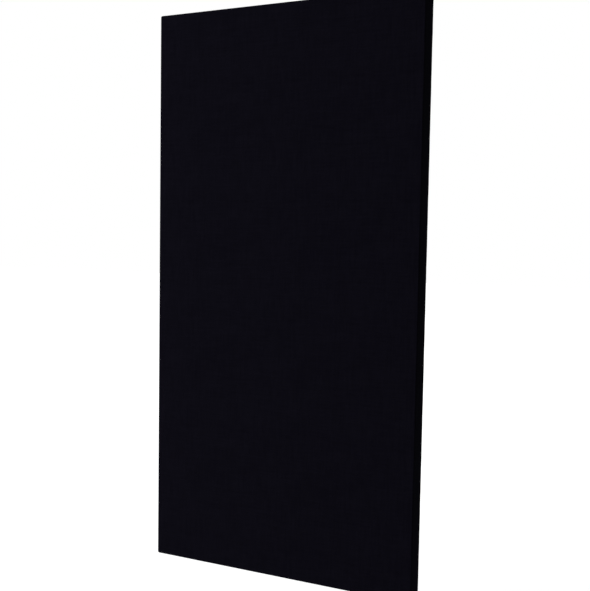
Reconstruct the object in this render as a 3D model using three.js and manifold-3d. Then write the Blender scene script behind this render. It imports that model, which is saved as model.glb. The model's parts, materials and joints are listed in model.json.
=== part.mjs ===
// Cloth-covered acoustic foam panel in a timber frame, with its wall fittings, in millimetres.
// X runs to the right as seen from the front, Y into the wall and Z up.
// The origin is the middle of the wall plane, which the rubber feet touch.

import * as THREE from 'three';
import { mergeVertices } from 'three/addons/utils/BufferGeometryUtils.js';
import Module from 'manifold-3d';

const wasm = await Module();
wasm.setup();

// Whole panel, without the feet
const panelWidth = 609.6;
const panelHeight = 1219.2;
const panelDepth = 50.8;

// Cover cloth, wrapped round the front and sides and turned in over the back
const clothThickness = 0.8;
const clothReturn = 45;
const clothEdgeRadius = 3;
const cornerEase = 1; // the outline corners are this much rounder than the front edges
const leastRadius = 0.5;

// Back lining, laid over the turned-in cloth
const liningThickness = 0.6;
const liningInset = 12;
const liningCornerRadius = 6;

// Timber frame and the plywood let into its back
const timberWidth = 18;
const plyThickness = 9;
const gussetLeg = 140;
const hangingRailWidth = 90;
const braceWidth = 60;
const hangingRailHeightShare = 0.25; // of the panel's height, above its middle
const braceHeightShare = 0.25; // below its middle

// Clearances
const softGap = 0.3; // cloth and foam to what they lie on
const glueLine = 0.1; // rail ends to stiles
const cutGap = 0.3; // a recess round the piece let into it
const holeGap = 0.3; // a hole round its screw
const overrun = 1; // how far a cutting solid passes the surface it cuts

// Screws
const screwShankRadius = 1.75;
const screwHeadRadius = 3.4;
const screwTipLength = 4;
const sunkHeadHeight = 2.2;
const panHeadHeight = 2.2;
const panHeadCrown = 0.7; // how much lower the pan head's rim is than its top
const driveSpan = 3.6;
const driveWidth = 0.9;
const driveDepth = 1.3;
const screwSink = 0.1; // a countersunk head below its surface
const cornerScrewLength = 50;
const gussetScrewLength = 20;
const braceScrewLength = 25;
const tipCover = 1; // plywood left in front of a pan-head screw's point
const cornerScrewDepthShares = [1 / 3, 2 / 3]; // of the rail's depth in front of the gusset
const gussetCornerScrewDrop = 30; // from the frame's corner, down the stile
const gussetEndScrewMargin = 40; // from the gusset's end, back along each leg
const braceScrewMargin = 18; // from a cross rail's edges

// Wall hangers: a folded strap with a rolled eye, and a wire D-ring
const hangerInset = 95; // from the panel's side to the strap's middle
const wireRadius = 1.5;
const ringInnerWidth = 20;
const ringLegLength = 5;
const ringSidePlay = 2; // between the ring's leg and the strap's edge, each side
const ringBarSpare = 0.5; // straight bar past the eye, each side
const ringGap = 0.3; // wire to eye, and wire to strap at rest
const strapSheet = 1.2;
const strapScrewPitch = 14;
const strapEndMargin = 7;
const strapHeadRoom = 2.4; // from the ring's arc to the first screw's head

// Rubber feet
const footRadius = 10;
const footInset = 30; // from both of the panel's sides
const footTaper = 1;
const footChamfer = 0.8;
const footFloor = 3; // rubber under the screw's head
const driverRoom = 0.9; // round the screw's head
const wallClearance = 1.7; // from a hanger's eye to the wall

// Roundness, in straight pieces
const edgeSteps = 3;
const cornerSteps = 2;
const screwSides = 8; // hidden screws
const panScrewSides = 12;
const footSides = 20;
const eyeSteps = 10;
const strapEndSteps = 6;
const ringSteps = 48;
const ringSides = 8;

// Hanger sizes that follow from the wire and the sheet
const eyeInnerRadius = wireRadius + ringGap;
const eyeOuterRadius = eyeInnerRadius + strapSheet;
const strapWidth = ringInnerWidth - 2 * ringSidePlay;
const strapThickness = 2 * strapSheet;
const ringHalfWidth = ringInnerWidth / 2 + wireRadius;
const ringBendRadius = ringHalfWidth - strapWidth / 2 - ringBarSpare;
const ringReach = ringBendRadius + ringLegLength + ringHalfWidth;
const firstStrapScrew = ringReach + wireRadius + strapHeadRoom + screwHeadRadius;
const strapScrewDrops = [firstStrapScrew, firstStrapScrew + strapScrewPitch];
const strapLength = firstStrapScrew + strapScrewPitch + strapEndMargin;
const ringRestRise = strapThickness + ringGap + wireRadius - eyeOuterRadius;
const ringRestAngle = Math.asin(ringRestRise / ringReach);

// Planes across the depth, from the wall to the front
const footHeight = softGap + 2 * eyeOuterRadius + wallClearance;
const wallPlane = 0;
const backPlane = wallPlane - footHeight;
const returnBack = backPlane - liningThickness - softGap;
const returnFront = returnBack - clothThickness;
const frameBack = returnFront - softGap;
const plyFront = frameBack - plyThickness;
const foamBack = plyFront - softGap;
const frontPlane = backPlane - panelDepth;
const clothInside = frontPlane + clothThickness;
const frameFront = clothInside + softGap;
const fittingPlane = backPlane + softGap;
const strapTop = fittingPlane + strapThickness;
const footFloorPlane = fittingPlane + footFloor;
const throughDepth = [frontPlane - overrun, wallPlane + overrun];

// Frame outline
const frameInset = clothThickness + softGap;
const frameWidth = panelWidth - 2 * frameInset;
const frameHeight = panelHeight - 2 * frameInset;
const timberMiddle = timberWidth / 2;

const sides = [{ name: 'left', sign: -1 }, { name: 'right', sign: 1 }];
const levels = [{ name: 'top', sign: 1 }, { name: 'bottom', sign: -1 }];
const crossRails = [
  { name: 'hanging_rail', middle: hangingRailHeightShare * panelHeight, width: hangingRailWidth },
  { name: 'lower_brace', middle: -braceHeightShare * panelHeight, width: braceWidth },
];

const materials = {
  cloth: finish(0x16151b, 0.95, 0),
  lining: finish(0x1c1c1e, 0.9, 0),
  foam: finish(0x3a3b3e, 1, 0),
  timber: finish(0xc9a878, 0.75, 0),
  plywood: finish(0xbb9868, 0.8, 0),
  nickel: finish(0xb8b8b4, 0.3, 1),
  zinc: finish(0x9c9ea2, 0.4, 1),
  rubber: finish(0x202022, 0.85, 0),
};

function finish(color, roughness, metalness) {
  return new THREE.MeshStandardMaterial({ color, roughness, metalness });
}

// A closed geometry as a solid that can be joined and cut
function solidOf(geometry) {
  const bare = geometry.clone();
  bare.deleteAttribute('normal');
  bare.deleteAttribute('uv');
  const merged = mergeVertices(bare);
  return new wasm.Manifold(new wasm.Mesh({
    numProp: 3,
    vertProperties: merged.attributes.position.array,
    triVerts: merged.index.array,
  }));
}

function meshOf(name, solid, material) {
  const { vertProperties, triVerts } = solid.getMesh();
  const geometry = new THREE.BufferGeometry();
  geometry.setAttribute('position', new THREE.BufferAttribute(vertProperties, 3));
  geometry.setIndex(new THREE.BufferAttribute(triVerts, 1));
  geometry.computeVertexNormals();
  const mesh = new THREE.Mesh(geometry, material);
  mesh.name = name;
  return mesh;
}

// A box between two values on each axis, given in either order
function box([x0, x1], [y0, y1], [z0, z1]) {
  const geometry = new THREE.BoxGeometry(Math.abs(x1 - x0), Math.abs(y1 - y0), Math.abs(z1 - z0));
  return solidOf(geometry.translate((x0 + x1) / 2, (y0 + y1) / 2, (z0 + z1) / 2));
}

// The span of a size that is centred on the origin, with room to cut past it
function across(size) {
  return [-size / 2 - overrun, size / 2 + overrun];
}

function turnedSolid(points, steps) {
  const profile = points.map(([radius, y]) => new THREE.Vector2(radius, y));
  return solidOf(new THREE.LatheGeometry(profile, steps));
}

function roundedRectangle(width, height, radius) {
  const quarter = Math.PI / 2;
  const outline = new THREE.Shape();
  [[1, 1], [-1, 1], [-1, -1], [1, -1]].forEach(([right, up], turn) => {
    const middleX = right * (width / 2 - radius);
    const middleZ = up * (height / 2 - radius);
    outline.absarc(middleX, middleZ, radius, turn * quarter, (turn + 1) * quarter);
  });
  return outline;
}

// An outline drawn in X and Z, as a plate from one plane across the depth to another
function plate(outline, front, back, steps) {
  const options = { depth: back - front, bevelEnabled: false, curveSegments: steps };
  const geometry = new THREE.ExtrudeGeometry(outline, options);
  return solidOf(geometry.rotateX(Math.PI / 2).translate(0, back, 0));
}

// The panel's outer form, a given distance inside the cloth's outer face: front edges and
// outline corners rounded, back flat
function wrappedBlock(inset, front, back) {
  const radius = Math.max(clothEdgeRadius - inset, leastRadius);
  const width = panelWidth - 2 * inset;
  const height = panelHeight - 2 * inset;
  const geometry = new THREE.ExtrudeGeometry(roundedRectangle(width, height, radius + cornerEase), {
    depth: back - front,
    bevelThickness: radius,
    bevelSize: radius,
    bevelOffset: -radius,
    bevelSegments: edgeSteps,
    curveSegments: cornerSteps,
  });
  geometry.rotateX(Math.PI / 2).translate(0, back + radius, 0);
  const pastBack = box(across(panelWidth), [back, back + 2 * radius + overrun], across(panelHeight));
  return solidOf(geometry).subtract(pastBack);
}

// Screws stand along Y with the head towards +Y; sunk heads end at y = 0, pan heads sit on it
function sunkScrew(length) {
  return turnedSolid([
    [0, -length],
    [screwShankRadius, screwTipLength - length],
    [screwShankRadius, -sunkHeadHeight],
    [screwHeadRadius, 0],
    [0, 0],
  ], screwSides).subtract(driveRecess(0));
}

function panScrew(length) {
  return turnedSolid([
    [0, -length],
    [screwShankRadius, screwTipLength - length],
    [screwShankRadius, 0],
    [screwHeadRadius, 0],
    [screwHeadRadius, panHeadHeight - panHeadCrown],
    [screwHeadRadius - panHeadCrown, panHeadHeight],
    [0, panHeadHeight],
  ], panScrewSides).subtract(driveRecess(panHeadHeight));
}

function driveRecess(top) {
  const depth = [top - driveDepth, top + overrun];
  const long = [-driveSpan / 2, driveSpan / 2];
  const narrow = [-driveWidth / 2, driveWidth / 2];
  return box(long, depth, narrow).add(box(narrow, depth, long));
}

function sunkHole(length) {
  return turnedSolid([
    [0, -length - holeGap],
    [screwShankRadius + holeGap, screwTipLength - length],
    [screwShankRadius + holeGap, -sunkHeadHeight],
    [screwHeadRadius + holeGap, 0],
    [screwHeadRadius + holeGap, overrun],
    [0, overrun],
  ], screwSides);
}

function panHole(length) {
  return turnedSolid([
    [0, -length - holeGap],
    [screwShankRadius + holeGap, screwTipLength - length],
    [screwShankRadius + holeGap, overrun],
    [0, overrun],
  ], panScrewSides);
}

// Where every screw goes: its head's plane, its length and its turn about Z
function cornerScrewPlaces() {
  const heights = cornerScrewDepthShares.map((share) => plyFront + share * (frameFront - plyFront));
  return levels.flatMap((level) => sides.flatMap((side) => heights.map((y, index) => ({
    name: `${level.name}_${side.name}_corner_screw_${index + 1}`,
    x: side.sign * (frameWidth / 2 - screwSink),
    y,
    z: level.sign * (frameHeight / 2 - timberMiddle),
    turn: -side.sign * Math.PI / 2,
    length: cornerScrewLength,
  }))));
}

function gussetScrewPlaces() {
  const alongLeg = gussetLeg - gussetEndScrewMargin;
  const spots = [[timberMiddle, gussetCornerScrewDrop], [timberMiddle, alongLeg], [alongLeg, timberMiddle]];
  return levels.flatMap((level) => sides.flatMap((side) => spots.map(([inward, drop], index) => ({
    name: `${level.name}_${side.name}_gusset_screw_${index + 1}`,
    x: side.sign * (frameWidth / 2 - inward),
    y: frameBack - screwSink,
    z: level.sign * (frameHeight / 2 - drop),
    length: gussetScrewLength,
  }))));
}

function crossRailScrewPlaces() {
  return crossRails.flatMap((rail) => sides.flatMap((side) => levels.map((level) => ({
    name: `${rail.name}_${side.name}_screw_${level.name}`,
    x: side.sign * (frameWidth / 2 - timberMiddle),
    y: frameBack - screwSink,
    z: rail.middle + level.sign * (rail.width / 2 - braceScrewMargin),
    length: braceScrewLength,
  }))));
}

function hangerPlaces() {
  const middle = crossRails[0].middle + (strapLength - eyeOuterRadius) / 2;
  return sides.map((side) => ({
    name: side.name,
    x: side.sign * (panelWidth / 2 - hangerInset),
    y: fittingPlane + eyeOuterRadius,
    z: middle,
  }));
}

function hangerScrewPlaces() {
  return hangerPlaces().flatMap((hanger) => strapScrewDrops.map((drop, index) => ({
    name: `${hanger.name}_hanger_screw_${index + 1}`,
    x: hanger.x,
    y: strapTop,
    z: hanger.z - drop,
    length: strapTop - plyFront - tipCover,
  })));
}

function footPlaces() {
  return levels.flatMap((level) => sides.map((side) => ({
    name: `${level.name}_${side.name}_foot`,
    x: side.sign * (panelWidth / 2 - footInset),
    y: fittingPlane,
    z: level.sign * (panelHeight / 2 - footInset),
  })));
}

function footScrewPlaces() {
  return footPlaces().map((foot) => ({
    ...foot,
    name: `${foot.name}_screw`,
    y: footFloorPlane,
    length: footFloorPlane - plyFront - tipCover,
  }));
}

// One solid of all the holes that these screws need, where the screws stand
function holesFor(places, holeOf) {
  return places
    .map(({ x, y, z, turn = 0, length }) => {
      const degrees = THREE.MathUtils.radToDeg(turn);
      return holeOf(length).rotate([0, 0, degrees]).translate([x, y, z]);
    })
    .reduce((all, hole) => all.add(hole));
}

const sunkScrews = [...cornerScrewPlaces(), ...gussetScrewPlaces(), ...crossRailScrewPlaces()];
const panScrews = [...hangerScrewPlaces(), ...footScrewPlaces()];
const sunkHoles = holesFor(sunkScrews, sunkHole);
const panHoles = holesFor(panScrews, panHole);
const frameForm = wrappedBlock(frameInset, frameFront, frameBack);

function coverCloth() {
  const outside = wrappedBlock(0, frontPlane, returnBack);
  const inside = wrappedBlock(clothThickness, clothInside, returnFront);
  const windowX = [clothReturn - panelWidth / 2, panelWidth / 2 - clothReturn];
  const windowZ = [clothReturn - panelHeight / 2, panelHeight / 2 - clothReturn];
  const window = box(windowX, [returnFront - overrun, returnBack + overrun], windowZ);
  const wrap = outside.subtract(inside).subtract(window);
  return meshOf('cover_cloth', wrap.subtract(panHoles), materials.cloth);
}

function backLining() {
  const width = panelWidth - 2 * liningInset;
  const height = panelHeight - 2 * liningInset;
  const outline = roundedRectangle(width, height, liningCornerRadius);
  const sheet = plate(outline, backPlane - liningThickness, backPlane, cornerSteps);
  return meshOf('back_lining', sheet.subtract(panHoles), materials.lining);
}

function foamCore() {
  const halfWidth = frameWidth / 2 - timberWidth - softGap;
  const halfHeight = frameHeight / 2 - timberWidth - softGap;
  const slab = box([-halfWidth, halfWidth], [frameFront, foamBack], [-halfHeight, halfHeight]);
  return meshOf('foam_core', slab, materials.foam);
}

// A recess in the frame's back between two values along one axis, open across the other
function recess(spanX, spanZ) {
  return box(spanX, [plyFront - cutGap, frameBack + overrun], spanZ);
}

function stile(side) {
  const outer = side.sign * (frameWidth / 2 + overrun);
  const inner = side.sign * (frameWidth / 2 - timberWidth);
  const span = across(frameWidth);
  const gussetRecesses = levels.map((level) => recess(span, [
    level.sign * (frameHeight / 2 - gussetLeg - cutGap),
    level.sign * (frameHeight / 2 + overrun),
  ]));
  const railRecesses = crossRails.map((rail) => recess(span, [
    rail.middle - rail.width / 2 - cutGap,
    rail.middle + rail.width / 2 + cutGap,
  ]));
  const blank = frameForm.intersect(box([inner, outer], throughDepth, across(frameHeight)));
  const shaped = [...gussetRecesses, ...railRecesses].reduce((wood, cut) => wood.subtract(cut), blank);
  return meshOf(`${side.name}_stile`, shaped.subtract(sunkHoles).subtract(panHoles), materials.timber);
}

function rail(level) {
  const halfLength = frameWidth / 2 - timberWidth - glueLine;
  const outer = level.sign * (frameHeight / 2 + overrun);
  const inner = level.sign * (frameHeight / 2 - timberWidth);
  const recesses = sides.map((side) => recess([
    side.sign * (frameWidth / 2 - gussetLeg - cutGap),
    side.sign * (frameWidth / 2 + overrun),
  ], across(frameHeight)));
  const blank = frameForm.intersect(box([-halfLength, halfLength], throughDepth, [inner, outer]));
  const shaped = recesses.reduce((wood, cut) => wood.subtract(cut), blank);
  return meshOf(`${level.name}_rail`, shaped.subtract(sunkHoles).subtract(panHoles), materials.timber);
}

function gusset(level, side) {
  const cornerX = side.sign * frameWidth / 2;
  const cornerZ = level.sign * frameHeight / 2;
  const spots = [[0, 0], [gussetLeg, 0], [gussetLeg, timberWidth], [timberWidth, gussetLeg], [0, gussetLeg]];
  const outline = new THREE.Shape(spots.map(([inward, drop]) => new THREE.Vector2(
    cornerX - side.sign * inward,
    cornerZ - level.sign * drop,
  )));
  const board = plate(outline, plyFront, frameBack, cornerSteps).intersect(frameForm);
  const drilled = board.subtract(sunkHoles).subtract(panHoles);
  return meshOf(`${level.name}_${side.name}_gusset`, drilled, materials.plywood);
}

function crossRail({ name, middle, width }) {
  const board = box(
    [-frameWidth / 2, frameWidth / 2],
    [plyFront, frameBack],
    [middle - width / 2, middle + width / 2],
  );
  return meshOf(name, board.subtract(sunkHoles).subtract(panHoles), materials.plywood);
}

// Both are drawn about the pivot, with the strap running down and Y out of the back
function strapSolid() {
  const eyeEnd = Math.acos((strapThickness - eyeOuterRadius) / eyeOuterRadius);
  const section = new THREE.Shape();
  section.moveTo(-eyeOuterRadius, -strapLength);
  section.lineTo(-eyeOuterRadius, 0);
  section.absarc(0, 0, eyeOuterRadius, Math.PI, -eyeEnd, true);
  section.lineTo(strapThickness - eyeOuterRadius, -strapLength);
  section.holes.push(new THREE.Path().absarc(0, 0, eyeInnerRadius, 0, 2 * Math.PI));
  const profile = new THREE.ExtrudeGeometry(section, {
    depth: strapWidth,
    bevelEnabled: false,
    curveSegments: eyeSteps,
  });
  const towards = [new THREE.Vector3(0, 1, 0), new THREE.Vector3(0, 0, 1), new THREE.Vector3(1, 0, 0)];
  profile.applyMatrix4(new THREE.Matrix4().makeBasis(...towards)).translate(-strapWidth / 2, 0, 0);
  const plan = new THREE.Shape();
  plan.moveTo(strapWidth / 2, eyeOuterRadius + overrun);
  plan.lineTo(-strapWidth / 2, eyeOuterRadius + overrun);
  plan.absarc(0, strapWidth / 2 - strapLength, strapWidth / 2, Math.PI, 2 * Math.PI);
  const trim = plate(plan, -eyeOuterRadius - overrun, eyeOuterRadius + overrun, strapEndSteps);
  const holes = holesFor(strapScrewDrops.map((drop) => ({
    x: 0,
    y: strapThickness - eyeOuterRadius,
    z: -drop,
    length: strapThickness + overrun + screwTipLength,
  })), panHole);
  return solidOf(profile).intersect(trim).subtract(holes);
}

// The D of the ring's wire, hanging straight down from the pivot
class RingLine extends THREE.Curve {
  constructor() {
    super();
    const barEnd = ringHalfWidth - ringBendRadius;
    const arcMiddle = ringHalfWidth - ringReach;
    const quarter = Math.PI / 2;
    this.outline = new THREE.Path();
    this.outline.moveTo(0, 0);
    this.outline.lineTo(barEnd, 0);
    this.outline.absarc(barEnd, -ringBendRadius, ringBendRadius, quarter, 0, true);
    this.outline.absarc(0, arcMiddle, ringHalfWidth, 0, -2 * quarter, true);
    this.outline.absarc(-barEnd, -ringBendRadius, ringBendRadius, 2 * quarter, quarter, true);
    this.outline.lineTo(0, 0);
  }

  getPoint(share, target = new THREE.Vector3()) {
    const spot = this.outline.getPointAt(share % 1);
    return target.set(spot.x, 0, spot.y);
  }
}

function ringSolid() {
  return solidOf(new THREE.TubeGeometry(new RingLine(), ringSteps, wireRadius, ringSides, true));
}

function hangers() {
  const strap = strapSolid();
  const ring = ringSolid();
  return hangerPlaces().flatMap(({ name, x, y, z }) => {
    const strapMesh = meshOf(`${name}_hanger_strap`, strap, materials.nickel);
    const ringMesh = meshOf(`${name}_hanger_ring`, ring, materials.nickel);
    strapMesh.position.set(x, y, z);
    ringMesh.position.set(x, y, z);
    ringMesh.rotation.x = ringRestAngle;
    return [strapMesh, ringMesh];
  });
}

// A tapered rubber foot, standing along Y on the lining, with its screw's head let in
function footSolid() {
  const height = wallPlane - fittingPlane;
  const boreRadius = screwShankRadius + holeGap;
  const recessRadius = screwHeadRadius + driverRoom;
  const faceRadius = footRadius - footTaper;
  return turnedSolid([
    [boreRadius, 0],
    [footRadius, 0],
    [faceRadius, height - footChamfer],
    [faceRadius - footChamfer, height],
    [recessRadius, height],
    [recessRadius, footFloor],
    [boreRadius, footFloor],
    [boreRadius, 0],
  ], footSides);
}

function feet() {
  const solid = footSolid();
  return footPlaces().map(({ name, x, y, z }) => {
    const mesh = meshOf(name, solid, materials.rubber);
    mesh.position.set(x, y, z);
    return mesh;
  });
}

function screws(places, solidFor) {
  return places.map(({ name, x, y, z, turn = 0, length }) => {
    const mesh = meshOf(name, solidFor(length), materials.zinc);
    mesh.position.set(x, y, z);
    mesh.rotation.z = turn;
    return mesh;
  });
}

const panel = new THREE.Group();
panel.add(coverCloth(), foamCore(), backLining());
panel.add(...sides.map(stile), ...levels.map(rail));
panel.add(...levels.flatMap((level) => sides.map((side) => gusset(level, side))));
panel.add(...crossRails.map(crossRail));
panel.add(...screws(sunkScrews, sunkScrew), ...screws(panScrews, panScrew));
panel.add(...hangers(), ...feet());

export default panel;
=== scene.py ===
import json
import math
import random

import bpy
import numpy as np
from mathutils import Matrix, Vector


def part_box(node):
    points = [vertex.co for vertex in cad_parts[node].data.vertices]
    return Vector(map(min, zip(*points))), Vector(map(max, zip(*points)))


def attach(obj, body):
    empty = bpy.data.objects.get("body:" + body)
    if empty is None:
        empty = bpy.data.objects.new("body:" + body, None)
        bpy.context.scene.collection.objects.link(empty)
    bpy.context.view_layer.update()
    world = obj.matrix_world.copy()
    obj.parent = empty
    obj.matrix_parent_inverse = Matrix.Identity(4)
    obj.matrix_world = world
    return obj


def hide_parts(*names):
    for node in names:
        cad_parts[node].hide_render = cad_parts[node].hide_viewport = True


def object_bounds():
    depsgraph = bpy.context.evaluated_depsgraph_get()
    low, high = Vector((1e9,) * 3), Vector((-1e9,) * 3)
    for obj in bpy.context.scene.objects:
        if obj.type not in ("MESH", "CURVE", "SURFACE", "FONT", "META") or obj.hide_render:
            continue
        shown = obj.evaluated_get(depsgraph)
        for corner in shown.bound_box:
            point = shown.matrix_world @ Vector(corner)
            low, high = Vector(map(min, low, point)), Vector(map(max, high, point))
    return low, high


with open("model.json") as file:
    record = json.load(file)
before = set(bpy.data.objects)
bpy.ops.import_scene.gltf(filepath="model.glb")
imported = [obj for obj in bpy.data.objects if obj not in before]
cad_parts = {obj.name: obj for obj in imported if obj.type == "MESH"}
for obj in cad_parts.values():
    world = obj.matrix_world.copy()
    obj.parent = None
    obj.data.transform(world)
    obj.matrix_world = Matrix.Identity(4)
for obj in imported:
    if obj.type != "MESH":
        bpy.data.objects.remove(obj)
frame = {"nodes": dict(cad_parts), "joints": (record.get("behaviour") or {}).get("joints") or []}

mm = 0.001
fullTurn = 2 * math.pi
quarterTurn = fullTurn / 4
cadLow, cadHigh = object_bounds()
clothLow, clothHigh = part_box("cover_cloth")
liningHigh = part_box("back_lining")[1]


# One socket of a node tree; sums, differences and products of sockets add their Math nodes
class Wire:
    def __init__(self, maker, socket):
        self.maker = maker
        self.socket = socket

    def __add__(self, other):
        return self.maker.maths("ADD", self, other)

    def __radd__(self, other):
        return self.maker.maths("ADD", other, self)

    def __sub__(self, other):
        return self.maker.maths("SUBTRACT", self, other)

    def __rsub__(self, other):
        return self.maker.maths("SUBTRACT", other, self)

    def __mul__(self, other):
        return self.maker.maths("MULTIPLY", self, other)

    def __rmul__(self, other):
        return self.maker.maths("MULTIPLY", other, self)


# The node tree of a material or of the world
class Finish:
    def __init__(self, owner):
        owner.use_nodes = True
        self.owner = owner
        self.tree = owner.node_tree
        self.tree.nodes.clear()

    # Settings, such as an operation, are set first, then the sockets
    def node(self, kind, settings=None, inputs=None, output=0):
        made = self.tree.nodes.new(kind)
        for name, value in (settings or {}).items():
            setattr(made, name, value)
        for name, value in (inputs or {}).items():
            if isinstance(value, Wire):
                self.tree.links.new(value.socket, made.inputs[name])
            else:
                made.inputs[name].default_value = value
        return Wire(self, made.outputs[output]) if made.outputs else None

    def maths(self, operation, first, second=0.0):
        return self.node("ShaderNodeMath", {"operation": operation}, {0: first, 1: second})

    def sine(self, value):
        return self.maths("SINE", value)

    def positive(self, value):
        return self.maths("ABSOLUTE", value)

    def larger(self, first, second):
        return self.maths("MAXIMUM", first, second)

    # 0 below low, 1 above high and a soft rise between them
    def rise(self, value, low, high):
        inputs = {"Value": value, "From Min": low, "From Max": high}
        return self.node("ShaderNodeMapRange", {"interpolation_type": "SMOOTHSTEP"}, inputs)

    def mix(self, share, first, second):
        first, second = (c if isinstance(c, Wire) else (*c, 1) for c in (first, second))
        return self.node("ShaderNodeMix", {"data_type": "RGBA"}, {0: share, 6: first, 7: second}, 2)

    def place(self):
        return self.node("ShaderNodeTexCoord", output="Object")

    # 1 for what the camera sees itself, in a mirror or through glass
    def seen(self):
        rays = ("Is Camera Ray", "Is Glossy Ray", "Is Transmission Ray")
        camera, glossy, transmitted = (self.node("ShaderNodeLightPath", output=ray) for ray in rays)
        return camera + glossy + transmitted

    def stretch(self, vector, shares):
        return self.node("ShaderNodeVectorMath", {"operation": "MULTIPLY"}, {0: vector, 1: shares})

    def parts(self, vector):
        split = self.node("ShaderNodeSeparateXYZ", inputs={0: vector}).socket.node
        return [Wire(self, socket) for socket in split.outputs]

    # Grey noise whose grains are about this long, in the units of the vector
    def noise(self, vector, grain, detail=2.0, distortion=0.0):
        inputs = {"Vector": vector, "Scale": 1 / grain, "Detail": detail, "Distortion": distortion}
        return self.node("ShaderNodeTexNoise", {"noise_dimensions": "3D"}, inputs)

    # The same for cloth, which repeats after each tile: across and up run round a circle each
    def tileNoise(self, across, up, tile, grains, detail=2.0, distortion=0.0, start=0.0):
        circles = []
        for way, grain in zip((across, up), grains):
            angle, radius = way * (fullTurn / tile), tile / (fullTurn * grain)
            circles += [self.sine(angle + quarterTurn) * radius, self.sine(angle) * radius]
        x, y, z, w = circles
        vector = self.node("ShaderNodeCombineXYZ", inputs={0: x + start, 1: y, 2: z})
        inputs = {"Vector": vector, "W": w, "Scale": 1.0, "Detail": detail, "Distortion": distortion}
        return self.node("ShaderNodeTexNoise", {"noise_dimensions": "4D"}, inputs)

    # Distance to the edges of small cells of about this size
    def cells(self, vector, size):
        inputs = {"Vector": vector, "Scale": 1 / size}
        return self.node("ShaderNodeTexVoronoi", {"feature": "DISTANCE_TO_EDGE"}, inputs)

    def bump(self, height, depth, strength=1.0):
        inputs = {"Height": height, "Distance": depth, "Strength": strength}
        return self.node("ShaderNodeBump", inputs=inputs)

    def surface(self, sockets):
        shader = self.node("ShaderNodeBsdfPrincipled", inputs=sockets)
        self.node("ShaderNodeOutputMaterial", inputs={"Surface": shader})
        return self.owner


def newFinish(name):
    return Finish(bpy.data.materials.new(name))


def newObject(name, content):
    made = bpy.data.objects.new(name, content)
    bpy.context.scene.collection.objects.link(made)
    return made


# Edges that turn by more than the sharp angle, in degrees, stay sharp
def meshPiece(name, points, faces, material, sharpAngle=None):
    mesh = bpy.data.meshes.new(name)
    mesh.from_pydata([tuple(point) for point in points], [], faces)
    mesh.update()
    mesh.materials.append(material)
    mesh.shade_smooth()
    if sharpAngle is not None:
        mesh.set_sharp_from_angle(angle=math.radians(sharpAngle))
    return newObject(name, mesh)


# The camera, in metres from the middle of the panel's front face
camera = {
    "place": (0.801, -1.624, 0.122),
    "lookAt": (0.0364, 0.0, 0.0020),
    "lean": 0.94,  # degrees, its top towards the left
    "lens": 52.2,  # millimetres, as is the sensor's width
    "sensor": 36,
}


def setCamera():
    place, lean = Vector(camera["place"]), math.radians(camera["lean"])
    lens = bpy.data.cameras.new("camera")
    lens.sensor_width = camera["sensor"]
    lens.lens = camera["lens"]
    forward = (Vector(camera["lookAt"]) - place).normalized()
    level = forward.cross(Vector((0, 0, 1))).normalized()
    top = level.cross(forward) * math.cos(lean) - level * math.sin(lean)
    turn = Matrix((forward.cross(top), top, -forward)).transposed()
    frontMiddle = Vector((0, cadLow.y, (cadLow.z + cadHigh.z) / 2))
    eye = newObject("camera", lens)
    eye.matrix_world = Matrix.Translation(frontMiddle + place) @ turn.to_4x4()
    bpy.context.scene.camera = eye


setCamera()
print("camera set")

# Floor, world and lamps
studio = {
    "floorDrop": 0.9,  # the panel hangs this far above the floor
    "floorSize": 60.0,
    "floorColour": (0.8, 0.8, 0.8),
    "glow": 1.25,  # a white that is seen on the floor, also mirrored, but throws no light
    "glowShares": (0.6, 1.0),  # its share there, near the panel and far off
    "glowReach": (1.0, 2.6),
    "worldLight": 0.2,
    "lamps": {
        "key": {"place": (-1.9, -2.7, 0.8), "size": 2.0, "power": 104},
        "back": {"place": (-2.6, 1.7, 1.5), "size": 1.6, "power": 130},
    },
}


def setWorld():
    world = bpy.data.worlds.new("studio")
    bpy.context.scene.world = world
    sky = Finish(world)
    light, white = (
        sky.node("ShaderNodeBackground", inputs={"Color": (1, 1, 1, 1), "Strength": strength})
        for strength in (studio["worldLight"], 1.0)
    )
    both = sky.node("ShaderNodeMixShader", inputs={0: sky.seen(), 1: light, 2: white})
    sky.node("ShaderNodeOutputWorld", inputs={"Surface": both})


def setFloor():
    half = studio["floorSize"] / 2
    height = cadLow.z - studio["floorDrop"]
    paint = newFinish("floor white")
    distance = paint.node("ShaderNodeVectorMath", {"operation": "LENGTH"}, {0: paint.place()}, 1)
    near, far = studio["glowShares"]
    share = paint.rise(distance - abs(height), *studio["glowReach"]) * (far - near) + near
    matt = paint.node("ShaderNodeBsdfDiffuse", inputs={"Color": (*studio["floorColour"], 1)})
    glow = paint.node("ShaderNodeEmission", inputs={"Color": (1, 1, 1, 1), "Strength": studio["glow"]})
    both = paint.node("ShaderNodeMixShader", inputs={0: paint.seen() * share, 1: matt, 2: glow})
    paint.node("ShaderNodeOutputMaterial", inputs={"Surface": both})
    corners = [(-half, -half, height), (half, -half, height), (half, half, height), (-half, half, height)]
    floor = meshPiece("floor", corners, [(0, 1, 2, 3)], paint.owner)


def setLamps():
    for name, lamp in studio["lamps"].items():
        light = bpy.data.lights.new(name, "AREA")
        light.shape = "DISK"
        light.size = lamp["size"]
        light.energy = lamp["power"]
        holder = newObject(name, light)
        holder.location = lamp["place"]
        holder.rotation_euler = (-holder.location).to_track_quat("-Z", "Y").to_euler()


setWorld()
setFloor()
setLamps()
bpy.context.scene.view_settings.view_transform = "Standard"
print("studio set")


def softStep(value, low, high):
    share = np.clip((value - low) / (high - low), 0, 1)
    return share * share * (3 - 2 * share)


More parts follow.
